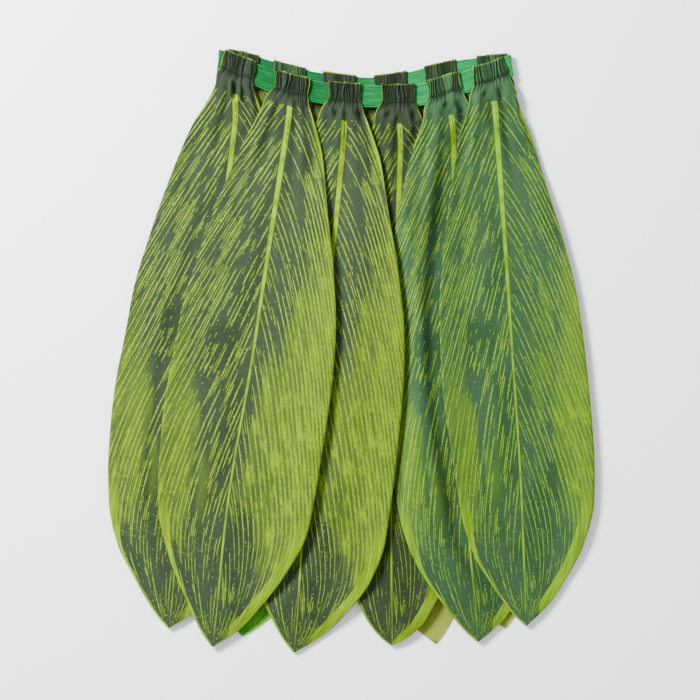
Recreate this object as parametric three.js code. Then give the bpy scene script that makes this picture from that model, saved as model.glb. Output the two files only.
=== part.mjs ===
// A ti leaf skirt, laid flat on a table with its front up and its waist towards +Y.
// Twelve leaf-shaped cloth panels, six in front and six behind, each have their top folded over one
// loop of flat elastic and stitched down to it. Lengths are millimetres: X to the right, Y towards
// the waist, Z up from the table.
import * as THREE from "three";

// Cloth, elastic and seams.
const clothThickness = 1.0;
const elasticThickness = 1.6;
const elasticWidth = 21;
const seamGap = 0.35;
const hemDepth = 15.5; // from the fold at the top of a panel down to its row of stitches
const casingHalfWidth = 15.5; // half of what a gathered panel takes up on the elastic
const gatherHeight = { front: 0.9, back: 0, flap: 0.4 }; // how far the ruffles stand off the wall

// The elastic lies as a flattened loop. Both of its runs sag below a straight line between its ends.
const waistLeft = { x: -127.3, y: 291.2 };
const waistRight = { x: 153.1, y: 286.4 };
const waistSag = [
  { share: 0, front: 0, back: 0 },
  { share: 0.06, front: 6.3, back: 1.7 },
  { share: 0.125, front: 13, back: 5.8 },
  { share: 0.25, front: 24.6, back: 15 },
  { share: 0.375, front: 30.4, back: 21.3 },
  { share: 0.5, front: 32.4, back: 24.2 },
  { share: 0.625, front: 32.6, back: 19.8 },
  { share: 0.7, front: 29.4, back: 14.5 },
  { share: 0.8, front: 20.8, back: 7.7 },
  { share: 0.87, front: 14.7, back: 3.9 },
  { share: 0.94, front: 8.5, back: 1.7 },
  { share: 1, front: 0, back: 0 },
];

// Heights above the table of the middle of each run of elastic.
const wallOffset = elasticThickness / 2 + seamGap;
const backElasticHeight = clothThickness + wallOffset;
const elasticRise = 5.4;
const frontElasticHeight = backElasticHeight + elasticRise;

// How the panels stack: each one under another lifts it by a layer.
const layerHeight = 1.8;

// Half widths of the leaf pattern on each side of its midrib, at shares of its length from the
// stitches to the tip. Left and right are as seen with the printed side up and the waist away.
const leafPattern = [
  { share: 0, left: 15.5, right: 15.5 },
  { share: 0.018, left: 21.5, right: 17.5 },
  { share: 0.039, left: 25, right: 22 },
  { share: 0.07, left: 32.5, right: 29 },
  { share: 0.1, left: 39.5, right: 35.5 },
  { share: 0.2, left: 54, right: 48.5 },
  { share: 0.3, left: 65, right: 62 },
  { share: 0.42, left: 74.5, right: 73.5 },
  { share: 0.55, left: 76.5, right: 78 },
  { share: 0.68, left: 71.5, right: 79.5 },
  { share: 0.78, left: 65, right: 77 },
  { share: 0.86, left: 51.5, right: 64.5 },
  { share: 0.92, left: 33.5, right: 44.5 },
  { share: 0.96, left: 20, right: 27.5 },
  { share: 0.985, left: 9.5, right: 12 },
  { share: 1, left: 0.8, right: 0.8 },
];

// Where each panel lies. waist is the middle of its casing, rib where its midrib meets the stitches,
// bow and sway how far the midrib curves to +X in its middle and lower third, left and right how
// full each side lies, tipLeft and tipRight how much fuller still the tip does, all as seen from
// above, and curl how much of the tip is turned under. Each row lies on the rows before it on its
// own side.
const backPanels = [
  { name: "back_leaf_5", waist: 85.5, rib: 86, tipX: 81.6, tipY: -282.1, bow: 0, sway: 0, left: 1, right: 1, tipLeft: 1, tipRight: 0.72, curl: 0 },
  { name: "back_leaf_2", waist: -59.9, rib: -59.4, tipX: -105.5, tipY: -274.8, bow: 0, sway: 0, left: 1, right: 1, tipLeft: 0.75, tipRight: 1.35, curl: 0 },
  { name: "back_leaf_3", waist: -11.6, rib: -11.1, tipX: -32.4, tipY: -267.1, bow: 0, sway: 0, left: 1, right: 1, tipLeft: 1, tipRight: 1, curl: 0 },
  { name: "back_leaf_6", waist: 135.7, rib: 132.8, tipX: 148.3, tipY: -266.7, bow: 0, sway: 0, left: 1, right: 0.85, tipLeft: 1, tipRight: 0.9, curl: 0 },
  { name: "back_leaf_1", waist: -104.3, rib: -103.8, tipX: -140.6, tipY: -256.5, bow: 0, sway: 0, left: 0.95, right: 1, tipLeft: 1, tipRight: 1, curl: 0 },
  { name: "back_leaf_4", waist: 37.7, rib: 38.2, tipX: 41.1, tipY: -269, bow: 0, sway: 0, left: 1, right: 1, tipLeft: 1, tipRight: 1, curl: 0 },
];
const frontPanels = [
  { name: "front_leaf_4", waist: 44.9, rib: 48.9, tipX: 39.1, tipY: -297, bow: -3, sway: -1, left: 0.96, right: 0.96, tipLeft: 0.84, tipRight: 0.83, curl: 14 },
  { name: "front_leaf_1", waist: -107.2, rib: -103.2, tipX: -176.3, tipY: -266.6, bow: 0.5, sway: -7, left: 1.04, right: 0.99, tipLeft: 1.08, tipRight: 0.95, curl: 0 },
  { name: "front_leaf_5", waist: 88.4, rib: 94.9, tipX: 122.2, tipY: -279.7, bow: -4.3, sway: -2.4, left: 0.98, right: 1, tipLeft: 1.02, tipRight: 1, curl: 0 },
  { name: "front_leaf_3", waist: -5.9, rib: -3.7, tipX: -55.5, tipY: -290.3, bow: 0.7, sway: -3.5, left: 0.98, right: 1.04, tipLeft: 0.96, tipRight: 1.02, curl: 0 },
  { name: "front_leaf_6", waist: 131.5, rib: 133.4, tipX: 168.6, tipY: -264.2, bow: 2.5, sway: 1.1, left: 0.91, right: 0.91, tipLeft: 1.06, tipRight: 0.98, curl: 0 },
  { name: "front_leaf_2", waist: -55.9, rib: -54.6, tipX: -134.3, tipY: -284.5, bow: -1.7, sway: -3.7, left: 1, right: 1.04, tipLeft: 0.93, tipRight: 0.89, curl: 0 },
];

// Distances below the stitches of the rows of points in a panel, as shares of its length.
const rowShares = [
  0.013, 0.026, 0.041, 0.06, 0.085, 0.115, 0.16, 0.22, 0.29, 0.37, 0.46, 0.55, 0.63, 0.71, 0.775,
  0.83, 0.875, 0.915, 0.945, 0.97, 0.99, 1,
];
const columnPlaces = [-1, -0.67, -0.33, 0, 0.33, 0.67, 1];
const gatheredColumns = [0, 1, 0, 1, 0, 1, 0];

const mix = THREE.MathUtils.lerp;
const ease = (x) => THREE.MathUtils.smoothstep(x, 0, 1);

// The value of one column of a table between its rows: a cubic through each pair of rows, whose
// slopes never let it overshoot them.
function fromTable(table, key, column, at) {
  const last = table.length - 2;
  let i = 0;
  while (i < last && at > table[i + 1][key]) i++;
  const rise = (n) => (table[n + 1][column] - table[n][column]) / (table[n + 1][key] - table[n][key]);
  const slope = (n) => {
    if (n === 0) return rise(0);
    if (n > last) return rise(last);
    const [before, after] = [rise(n - 1), rise(n)];
    return before * after <= 0 ? 0 : (2 * before * after) / (before + after);
  };
  const span = table[i + 1][key] - table[i][key];
  const u = THREE.MathUtils.clamp((at - table[i][key]) / span, 0, 1);
  const [a, b] = [table[i][column], table[i + 1][column]];
  const v = 1 - u;
  return a * v * v * (1 + 2 * u) + slope(i) * span * u * v * v + b * u * u * (3 - 2 * u) - slope(i + 1) * span * u * u * v;
}

// ---- Elastic waistband -------------------------------------------------------------------------

// The top edge of a run of elastic at x.
function waistTop(x, isFront) {
  const u = THREE.MathUtils.clamp((x - waistLeft.x) / (waistRight.x - waistLeft.x), 0, 1);
  return mix(waistLeft.y, waistRight.y, u) - fromTable(waistSag, "share", isFront ? "front" : "back", u);
}

// A point at x on a run of elastic, a depth below its top edge. The elastic leans by half its slope.
function waistPoint(x, depth, isFront) {
  const step = 1;
  const slope = (waistTop(x + step, isFront) - waistTop(x - step, isFront)) / (2 * step);
  const lean = Math.atan(slope) / 2;
  return new THREE.Vector2(x + depth * Math.sin(lean), waistTop(x, isFront) - depth * Math.cos(lean));
}

// The elastic as one closed loop: along the front, round the right end, back, and round the left.
function elasticLoop() {
  const steps = { run: 16, turn: 5 };
  const turnRadius = elasticRise / 2;
  const [left, right] = [waistLeft.x + turnRadius, waistRight.x - turnRadius];
  const middle = (backElasticHeight + frontElasticHeight) / 2;
  const stations = [];
  const addRun = (from, to, isFront, height, up) => {
    for (let i = 0; i <= steps.run; i++) {
      const x = mix(from, to, i / steps.run);
      stations.push({ x, height, frontShare: isFront ? 1 : 0, normal: new THREE.Vector3(0, 0, up) });
    }
  };
  const addTurn = (x, side) => {
    for (let i = 1; i < steps.turn; i++) {
      const turn = (Math.PI * i) / steps.turn;
      const normal = new THREE.Vector3(side * Math.sin(turn), 0, side * Math.cos(turn));
      stations.push({
        x: x + turnRadius * normal.x,
        height: middle + turnRadius * normal.z,
        frontShare: side > 0 ? 1 - i / steps.turn : i / steps.turn,
        normal,
      });
    }
  };
  addRun(left, right, true, frontElasticHeight, 1);
  addTurn(right, 1);
  addRun(right, left, false, backElasticHeight, -1);
  addTurn(left, -1);

  const positions = [];
  for (const { x, height, frontShare, normal } of stations) {
    for (const [depth, side] of [[0, -1], [0, 1], [elasticWidth, 1], [elasticWidth, -1]]) {
      const flat = waistPoint(x, depth, false).lerp(waistPoint(x, depth, true), frontShare);
      const offset = (side * elasticThickness) / 2;
      positions.push(flat.x + normal.x * offset, flat.y, height + normal.z * offset);
    }
  }
  const corners = 4;
  const indices = [];
  for (let i = 0; i < stations.length; i++) {
    const next = (i + 1) % stations.length;
    for (let k = 0; k < corners; k++) {
      const other = (k + 1) % corners;
      const [a, b, c, d] = [i * corners + k, i * corners + other, next * corners + other, next * corners + k];
      indices.push(a, b, c, a, c, d);
    }
  }
  return meshGeometry(positions, indices);
}

function meshGeometry(positions, indices) {
  const geometry = new THREE.BufferGeometry();
  geometry.setAttribute("position", new THREE.Float32BufferAttribute(positions, 3));
  geometry.setIndex(indices);
  geometry.computeVertexNormals();
  return geometry;
}

// ---- Leaf panels in plan -----------------------------------------------------------------------

// A panel with what follows from where it lies: its start on the stitches, direction and length.
function laid(panel, isFront) {
  const start = waistPoint(panel.rib, hemDepth, isFront);
  const tip = new THREE.Vector2(panel.tipX, panel.tipY);
  const length = start.distanceTo(tip);
  const down = tip.clone().sub(start).divideScalar(length);
  const across = new THREE.Vector2(-down.y, down.x);
  return { ...panel, isFront, start, length, down, across, end: length - panel.curl };
}

// How far the midrib lies to the right of a straight line, a distance below the stitches.
function midribOffset(leaf, distance) {
  const share = THREE.MathUtils.clamp(distance / leaf.length, 0, 1);
  const swayStart = 0.45;
  const lower = Math.max(0, (share - swayStart) / (1 - swayStart));
  return leaf.bow * 4 * share * (1 - share) + leaf.sway * Math.sin(Math.PI * lower) ** 2;
}

// Half width of a panel on one side of its midrib. A back panel lies printed side down, so its
// pattern is turned over, and a curled tip is rounded where it turns under.
function halfWidth(leaf, distance, side) {
  const share = THREE.MathUtils.clamp(distance / leaf.length, 0, 1);
  const patternSide = (side > 0) === leaf.isFront ? "right" : "left";
  const [sideFullness, tipFullness] = side > 0 ? [leaf.right, leaf.tipRight] : [leaf.left, leaf.tipLeft];
  const fullness = sideFullness * mix(1, tipFullness, ease((share - 0.75) / 0.15));
  const width = fromTable(leafPattern, "share", patternSide, share) * mix(1, fullness, ease(share / 0.1));
  if (!leaf.curl) return width;
  const roundedLength = 26;
  const rounding = THREE.MathUtils.clamp((distance - leaf.end + roundedLength) / roundedLength, 0, 1);
  return Math.max(leafPattern.at(-1).left, width * Math.sqrt(1 - rounding ** 2));
}

// A point of a panel in plan, a distance below the stitches and aside from the midrib. Near the
// waist the rows follow the curve of the elastic, and further down they are square to the leaf.
function panelPoint(leaf, distance, aside) {
  const square = leaf.start
    .clone()
    .addScaledVector(leaf.down, distance)
    .addScaledVector(leaf.across, aside + midribOffset(leaf, distance));
  const gathered = waistPoint(leaf.waist + aside, hemDepth + distance, leaf.isFront);
  const releaseLength = 50;
  return gathered.lerp(square, ease(distance / releaseLength));
}

// How much of a layer a panel puts under what lies on it at a point: 1 on the panel and close round
// it, falling to 0 further out.
function cover(leaf, point) {
  const from = point.clone().sub(leaf.start);
  const distance = from.dot(leaf.down);
  const aside = from.dot(leaf.across) - midribOffset(leaf, distance);
  const besideEdge = Math.max(0, Math.abs(aside) - halfWidth(leaf, distance, Math.sign(aside) || 1));
  const pastTip = Math.max(0, distance - leaf.end);
  const outside = Math.hypot(besideEdge, pastTip);
  const margin = mix(5, 18, ease(distance / 120));
  const fall = mix(8, 55, ease(distance / 160));
  return 1 - ease((outside - margin) / fall);
}

const back = backPanels.map((panel) => laid(panel, false));
const front = frontPanels.map((panel) => laid(panel, true));

const layersUnder = (leaves, point) => leaves.reduce((sum, leaf) => sum + cover(leaf, point), 0);

// Height of the underside of the lowest front panel: over the elastic at the waist, and lower down
// on the back panels.
function frontBase(point) {
  const below = waistTop(point.x, true) - point.y;
  const settled = ease((below - 24) / 95);
  const onElastic = frontElasticHeight + wallOffset;
  return mix(onElastic, layerHeight * layersUnder(back, point), settled);
}

// Height of a panel's underside at a point in plan, a distance below its own stitches.
function undersideHeight(leaf, point, distance) {
  const side = leaf.isFront ? front : back;
  const under = side.slice(0, side.findIndex((other) => other.name === leaf.name));
  const clearOfElastic = distance - (elasticWidth - hemDepth);
  const lift = layerHeight * layersUnder(under, point) * ease(clearOfElastic / 12);
  return (leaf.isFront ? frontBase(point) : 0) + lift;
}

// ---- Leaf panels as cloth ----------------------------------------------------------------------

// The rows of a panel that wrap the elastic, from the raw end of the flap inside the skirt, over the
// top edge, to the stitches: depth below the top edge, height and normal of the inner face.
function casingRows(isFront) {
  const outward = isFront ? 1 : -1;
  const middle = isFront ? frontElasticHeight : backElasticHeight;
  const wallGather = isFront ? gatherHeight.front : gatherHeight.back;
  const foldDepth = 0.3;
  const foldRoom = 0.1;
  const flat = (depth, side, gather) => ({
    depth,
    height: middle + side * outward * wallOffset,
    normal: { depth: 0, height: side * outward },
    gather,
  });
  const fold = [-30, 30].map((degrees) => {
    const angle = THREE.MathUtils.degToRad(degrees);
    const radius = wallOffset + foldRoom;
    return {
      depth: foldDepth - radius * Math.cos(angle),
      height: middle + outward * radius * Math.sin(angle),
      normal: { depth: -Math.cos(angle), height: outward * Math.sin(angle) },
      gather: mix(gatherHeight.flap, wallGather, 0.5),
    };
  });
  return [
    flat(hemDepth, -1, gatherHeight.flap),
    flat(foldDepth, -1, gatherHeight.flap),
    ...fold,
    flat(foldDepth, 1, wallGather),
    flat(hemDepth, 1, wallGather),
  ];
}

// The inner and outer points of one row of a panel.
function clothRow(inner, normal, gather) {
  return inner.map((point, i) => {
    const foot = point.clone().addScaledVector(normal(i), gather * gatheredColumns[i]);
    return [foot, foot.clone().addScaledVector(normal(i), clothThickness)];
  });
}

function panelGeometry(leaf) {
  const outward = leaf.isFront ? 1 : -1;
  const rows = casingRows(leaf.isFront).map(({ depth, height, normal, gather }) => {
    const inner = columnPlaces.map((place) => {
      const flat = waistPoint(leaf.waist + place * casingHalfWidth, depth, leaf.isFront);
      return new THREE.Vector3(flat.x, flat.y, height);
    });
    const direction = (i) => {
      const x = leaf.waist + columnPlaces[i] * casingHalfWidth;
      const below = waistPoint(x, 1, leaf.isFront).sub(waistPoint(x, 0, leaf.isFront));
      return new THREE.Vector3(below.x * normal.depth, below.y * normal.depth, normal.height);
    };
    return clothRow(inner, direction, gather);
  });
  const gatherLength = 30;
  for (const share of rowShares) {
    const distance = share * leaf.end;
    const inner = columnPlaces.map((place) => {
      const flat = panelPoint(leaf, distance, place * halfWidth(leaf, distance, Math.sign(place) || 1));
      const height = undersideHeight(leaf, flat, distance) + (leaf.isFront ? 0 : clothThickness);
      return new THREE.Vector3(flat.x, flat.y, height);
    });
    const wallGather = leaf.isFront ? gatherHeight.front : gatherHeight.back;
    const gather = wallGather * (1 - ease(distance / gatherLength));
    rows.push(clothRow(inner, () => new THREE.Vector3(0, 0, outward), gather));
  }
  return wallGeometry(rows, !leaf.isFront);
}

// A closed wall from rows of inner and outer points, turned over when it faces the table.
function wallGeometry(rows, turnedOver) {
  const columns = columnPlaces.length;
  const positions = rows.flat(2).flatMap((point) => point.toArray());
  const at = (row, column, face) => 2 * (row * columns + column) + face;
  const indices = [];
  const quad = (a, b, c, d) => indices.push(...(turnedOver ? [a, c, b, a, d, c] : [a, b, c, a, c, d]));
  const lastRow = rows.length - 1;
  const lastColumn = columns - 1;
  for (let r = 0; r < lastRow; r++) {
    for (let c = 0; c < lastColumn; c++) {
      quad(at(r, c, 1), at(r + 1, c, 1), at(r + 1, c + 1, 1), at(r, c + 1, 1));
      quad(at(r, c, 0), at(r, c + 1, 0), at(r + 1, c + 1, 0), at(r + 1, c, 0));
    }
    quad(at(r, 0, 0), at(r + 1, 0, 0), at(r + 1, 0, 1), at(r, 0, 1));
    quad(at(r, lastColumn, 1), at(r + 1, lastColumn, 1), at(r + 1, lastColumn, 0), at(r, lastColumn, 0));
  }
  for (let c = 0; c < lastColumn; c++) {
    quad(at(0, c, 1), at(0, c + 1, 1), at(0, c + 1, 0), at(0, c, 0));
    quad(at(lastRow, c, 0), at(lastRow, c + 1, 0), at(lastRow, c + 1, 1), at(lastRow, c, 1));
  }
  return meshGeometry(positions, indices);
}

// ---- The skirt ---------------------------------------------------------------------------------

const leafCloth = new THREE.MeshStandardMaterial({ color: 0x7f9a4c, roughness: 0.75, metalness: 0 });
const emeraldCloth = new THREE.MeshStandardMaterial({ color: 0x78964d, roughness: 0.75, metalness: 0 });
const elasticWebbing = new THREE.MeshStandardMaterial({ color: 0x449c5c, roughness: 0.8, metalness: 0 });
const emeraldPanels = ["front_leaf_5", "front_leaf_6", "back_leaf_2", "back_leaf_6"];

const skirt = new THREE.Group();

function addPiece(name, geometry, material) {
  const mesh = new THREE.Mesh(geometry, material);
  mesh.name = name;
  skirt.add(mesh);
}

addPiece("waist_elastic", elasticLoop(), elasticWebbing);
for (const leaf of [...back, ...front]) {
  addPiece(leaf.name, panelGeometry(leaf), emeraldPanels.includes(leaf.name) ? emeraldCloth : leafCloth);
}

// Its origin is on the table, under the middle of the skirt's plan.
const bounds = new THREE.Box3().setFromObject(skirt);
const middle = bounds.getCenter(new THREE.Vector3());
skirt.position.set(-middle.x, -middle.y, -bounds.min.z);

export default skirt;
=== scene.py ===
import bpy
import numpy as np
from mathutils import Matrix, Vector


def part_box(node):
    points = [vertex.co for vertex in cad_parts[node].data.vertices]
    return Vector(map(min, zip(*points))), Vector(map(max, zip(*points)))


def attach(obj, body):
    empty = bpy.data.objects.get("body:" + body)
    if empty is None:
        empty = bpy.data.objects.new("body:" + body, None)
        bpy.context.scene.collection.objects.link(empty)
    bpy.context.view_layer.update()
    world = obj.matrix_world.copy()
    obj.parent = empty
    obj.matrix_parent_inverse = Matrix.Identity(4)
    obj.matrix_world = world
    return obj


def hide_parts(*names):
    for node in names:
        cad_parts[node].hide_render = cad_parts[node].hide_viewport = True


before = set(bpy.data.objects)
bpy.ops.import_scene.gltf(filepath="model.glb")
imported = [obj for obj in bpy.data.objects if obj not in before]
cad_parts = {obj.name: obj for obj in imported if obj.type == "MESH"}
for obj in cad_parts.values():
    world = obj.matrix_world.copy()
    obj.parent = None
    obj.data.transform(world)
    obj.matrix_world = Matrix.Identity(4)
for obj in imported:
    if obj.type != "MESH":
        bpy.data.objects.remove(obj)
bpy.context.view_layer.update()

# ---- Waist elastic -----------------------------------------------------------------------------
# The real piece is one loop of flat woven elastic, 21 mm wide, with rubber threads that run along
# it under a knitted polyester face. It is sewn into a ring and lies flattened, front run over back
# run, and both runs sag between its two ends. All sizes here and below are in millimetres.
MM = 0.001
ELASTIC_WIDTH = 21
ELASTIC_THICKNESS = 1.6
ELASTIC_RIBS = 13
ELASTIC_RIB_RELIEF = 0.12
WAIST_LEFT = (-127.3, 291.2)
WAIST_RIGHT = (153.1, 286.4)
WAIST_SAG = np.array([
    # share of the way across, sag of the front run, sag of the back run
    (0, 0, 0), (0.06, 6.3, 1.7), (0.125, 13, 5.8), (0.25, 24.6, 15), (0.375, 30.4, 21.3),
    (0.5, 32.4, 24.2), (0.625, 32.6, 19.8), (0.7, 29.4, 14.5), (0.8, 20.8, 7.7), (0.87, 14.7, 3.9),
    (0.94, 8.5, 1.7), (1, 0, 0),
])
CLOTH_ROOM = 0.35
WALL_OFFSET = ELASTIC_THICKNESS / 2 + CLOTH_ROOM
CAD_CLOTH = 1.0
BACK_HEIGHT = CAD_CLOTH + WALL_OFFSET
ELASTIC_RISE = 5.4
FRONT_HEIGHT = BACK_HEIGHT + ELASTIC_RISE


def mix(a, b, share):
    """A value between a and b: a where share is 0 and b where it is 1."""
    return a + (b - a) * share


def ease(x):
    """0 below 0, 1 above 1, and 3x^2 - 2x^3 between, which starts and ends level."""
    x = np.clip(x, 0, 1)
    return x * x * (3 - 2 * x)


def from_table(places, values, at):
    """A table's value between its rows: a cubic through each pair of rows, with the harmonic mean of
    the rises on both sides as the slope at a row, so that it never overshoots."""
    at = np.clip(at, places[0], places[-1])
    steps = np.diff(places)
    rises = np.diff(values) / steps
    slopes = np.concatenate([rises[:1], rises[:-1] * 0, rises[-1:]])
    before, after = rises[:-1], rises[1:]
    same_way = before * after > 0
    slopes[1:-1][same_way] = (2 * before * after)[same_way] / (before + after)[same_way]
    i = np.clip(np.searchsorted(places, at, side="right") - 1, 0, len(steps) - 1)
    u = (at - places[i]) / steps[i]
    v = 1 - u
    return (values[i] * v * v * (1 + 2 * u) + slopes[i] * steps[i] * u * v * v
            + values[i + 1] * u * u * (3 - 2 * u) - slopes[i + 1] * steps[i] * u * u * v)


def waist_top(x, is_front):
    """The top edge of a run of elastic: a straight line between the loop's ends, less the run's sag."""
    share = np.clip((x - WAIST_LEFT[0]) / (WAIST_RIGHT[0] - WAIST_LEFT[0]), 0, 1)
    sag = from_table(WAIST_SAG[:, 0], WAIST_SAG[:, 1 if is_front else 2], share)
    return mix(WAIST_LEFT[1], WAIST_RIGHT[1], share) - sag


def waist_point(x, depth, is_front):
    """A point on a run of elastic in plan: its top edge at x, then depth along a line that leans by
    half the edge's slope."""
    slope = (waist_top(x + 1, is_front) - waist_top(x - 1, is_front)) / 2
    lean = np.arctan(slope) / 2
    return np.stack([x + depth * np.sin(lean), waist_top(x, is_front) - depth * np.cos(lean)], axis=-1)


def grid_mesh(name, points, closed_rows=False, closed_columns=False):
    """A mesh from a rows x columns x 3 array of points in metres, with a quad between each four
    neighbours. It can be closed along either direction."""
    rows, columns = points.shape[:2]
    index = np.arange(rows * columns).reshape(rows, columns)
    index = np.concatenate([index, index[:1]]) if closed_rows else index
    index = np.concatenate([index, index[:, :1]], axis=1) if closed_columns else index
    quads = np.stack([index[:-1, :-1], index[1:, :-1], index[1:, 1:], index[:-1, 1:]], axis=-1)
    quads = quads.reshape(-1, 4)
    mesh = bpy.data.meshes.new(name)
    mesh.vertices.add(rows * columns)
    mesh.vertices.foreach_set("co", points.astype(np.float32).ravel())
    mesh.loops.add(quads.size)
    mesh.loops.foreach_set("vertex_index", quads.astype(np.int32).ravel())
    mesh.polygons.add(len(quads))
    mesh.polygons.foreach_set("loop_start", np.arange(0, quads.size, 4, dtype=np.int32))
    mesh.polygons.foreach_set("loop_total", np.full(len(quads), 4, dtype=np.int32))
    mesh.update(calc_edges=True)
    mesh.polygons.foreach_set("use_smooth", np.ones(len(quads), dtype=bool))
    return mesh


def add_vectors(mesh, name, vectors):
    """Stores three numbers for each vertex of a mesh, for its material to read by name."""
    attribute = mesh.attributes.new(name, "FLOAT_VECTOR", "POINT")
    attribute.data.foreach_set("vector", vectors.astype(np.float32).ravel())


def place(mesh, name):
    """The mesh as a piece of the scene, at the origin."""
    piece = bpy.data.objects.new(name, mesh)
    bpy.context.scene.collection.objects.link(piece)
    return piece


def elastic_points():
    """The loop as stations x section points. Its stations run along the front, half round the right
    end, along the back, and half round the left end. Its section is a flat bar with round edges and
    shallow ribs on both faces, cosine-shaped across the width."""
    run_steps, turn_steps, face_steps, edge_steps = 110, 14, 52, 6
    radius = ELASTIC_RISE / 2
    left, right = WAIST_LEFT[0] + radius, WAIST_RIGHT[0] - radius
    turn = np.linspace(0, np.pi, turn_steps + 1)[1:-1]
    run = np.linspace(left, right, run_steps + 1)
    level = np.zeros_like(run)
    x = np.concatenate([run, right + radius * np.sin(turn), run[::-1], left - radius * np.sin(turn)])
    normal_x = np.concatenate([level, np.sin(turn), level, -np.sin(turn)])
    normal_z = np.concatenate([level + 1, np.cos(turn), level - 1, -np.cos(turn)])
    share = turn / np.pi
    front = np.concatenate([level + 1, 1 - share, level, share])
    height = (FRONT_HEIGHT + BACK_HEIGHT) / 2 + radius * normal_z

    half = ELASTIC_THICKNESS / 2
    across = np.linspace(half, ELASTIC_WIDTH - half, face_steps)
    rib = ELASTIC_RIB_RELIEF * 0.5 * (1 - np.cos(2 * np.pi * ELASTIC_RIBS * across / ELASTIC_WIDTH))
    bend = np.linspace(-np.pi / 2, np.pi / 2, edge_steps + 2)[1:-1]
    depth = np.concatenate([across, ELASTIC_WIDTH - half + half * np.cos(bend),
                            across[::-1], half - half * np.cos(bend)])
    rise = np.concatenate([half - rib, -half * np.sin(bend), rib[::-1] - half, half * np.sin(bend)])

    along = np.cumsum(np.hypot(np.diff(x, prepend=x[0]), np.diff(height, prepend=height[0])))
    ripple = 0.35 * np.sin(along / 6.1) * np.sin(along / 23)
    depth = depth[None] + (ripple * (1 - ease(np.abs(normal_x) * 4)))[:, None]
    on_back, on_front = (waist_point(x[:, None], depth, is_front) for is_front in (False, True))
    flat = mix(on_back, on_front, front[:, None, None])
    points = np.stack([flat[..., 0] + normal_x[:, None] * rise, flat[..., 1],
                       height[:, None] + normal_z[:, None] * rise], axis=-1)
    return points, along, depth


def node(tree, kind, inputs=None, **settings):
    """Adds a shader node with these settings. Each input is set to a value, or linked to a socket."""
    made = tree.nodes.new("ShaderNode" + kind)
    for name, value in settings.items():
        setattr(made, name, value)
    for name, value in (inputs or {}).items():
        if isinstance(value, bpy.types.NodeSocket):
            tree.links.new(value, made.inputs[name])
        else:
            made.inputs[name].default_value = value
    return made


def calc(tree, operation, *values):
    """The result of a math node on numbers or sockets."""
    return node(tree, "Math", dict(enumerate(values)), operation=operation).outputs[0]


def combine(tree, operation, values):
    """Numbers or sockets joined one after another by a math operation."""
    result = values[0]
    for value in values[1:]:
        result = calc(tree, operation, result, value)
    return result


def times(tree, *values):
    """The product of numbers or sockets."""
    return combine(tree, "MULTIPLY", values)


def plus(tree, *values):
    """The sum of numbers or sockets."""
    return combine(tree, "ADD", values)


def ramp(tree, value, low, high, to_low=0.0, to_high=1.0):
    """A value brought smoothly from the range low to high into the range to_low to to_high."""
    inputs = {"Value": value, "From Min": low, "From Max": high, "To Min": to_low, "To Max": to_high}
    return node(tree, "MapRange", inputs, interpolation_type="SMOOTHSTEP").outputs["Result"]


def near(tree, value, middle, edge, core):
    """1 where a value is within core of a middle one, falling smoothly to 0 at edge from it."""
    return ramp(tree, calc(tree, "ABSOLUTE", plus(tree, value, -middle)), edge, core)


def blend_colour(tree, share, a, b):
    """Colour a where share is 0 and colour b where it is 1."""
    made = node(tree, "Mix", data_type="RGBA")
    for socket, value in ((made.inputs[0], share), (made.inputs[6], a), (made.inputs[7], b)):
        if isinstance(value, bpy.types.NodeSocket):
            tree.links.new(value, socket)
        else:
            socket.default_value = value
    return made.outputs[2]


def noise(tree, at, scale, detail=1.0, dimensions="3D"):
    """A noise texture's value, about 0.5 on average, at a vector."""
    inputs = {"Vector": at, "Scale": scale, "Detail": detail}
    return node(tree, "TexNoise", inputs, noise_dimensions=dimensions).outputs["Fac"]


def vector(tree, x, y):
    """A vector from two numbers or sockets."""
    return node(tree, "CombineXYZ", {"X": x, "Y": y}).outputs[0]


def flat_noise(tree, x, y, detail):
    """A noise over two numbers or sockets, about 0.5 on average, with features about 1 apart."""
    return noise(tree, vector(tree, x, y), 1.0, detail, "2D")


def split(tree, name):
    """The three numbers that a mesh stores under a name."""
    stored = node(tree, "Attribute", attribute_name=name).outputs["Vector"]
    return node(tree, "SeparateXYZ", {0: stored}).outputs


def cloth_shader(tree, colour, height, bump_distance, roughness, sheen):
    """Ends a material in a cloth surface: colour, a bump of a height, a roughness and a sheen."""
    bump = node(tree, "Bump", {"Height": height, "Distance": bump_distance, "Strength": 1.0})
    shader = node(tree, "BsdfPrincipled", {
        "Base Color": colour, "Roughness": roughness, "Sheen Weight": sheen, "Sheen Roughness": 0.5,
        "Specular IOR Level": 0.03, "Normal": bump.outputs[0],
    })
    node(tree, "OutputMaterial", {"Surface": shader.outputs[0]})


def new_material(name):
    """An empty node material and its node tree."""
    made = bpy.data.materials.new(name)
    made.use_nodes = True
    made.node_tree.nodes.clear()
    return made, made.node_tree


# The elastic's light and dark greens. Its colour moves between them with the random dye and with the
# painted light and shade that the material adds.
ELASTIC_GREEN = (0.011, 0.262, 0.068, 1)
ELASTIC_SHADE = (0.003, 0.060, 0.014, 1)
KNIT_PITCH = 0.7
SELVEDGE_HIGHLIGHT_START = 9.6
SHADE_LINE_AT = 8.9


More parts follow.
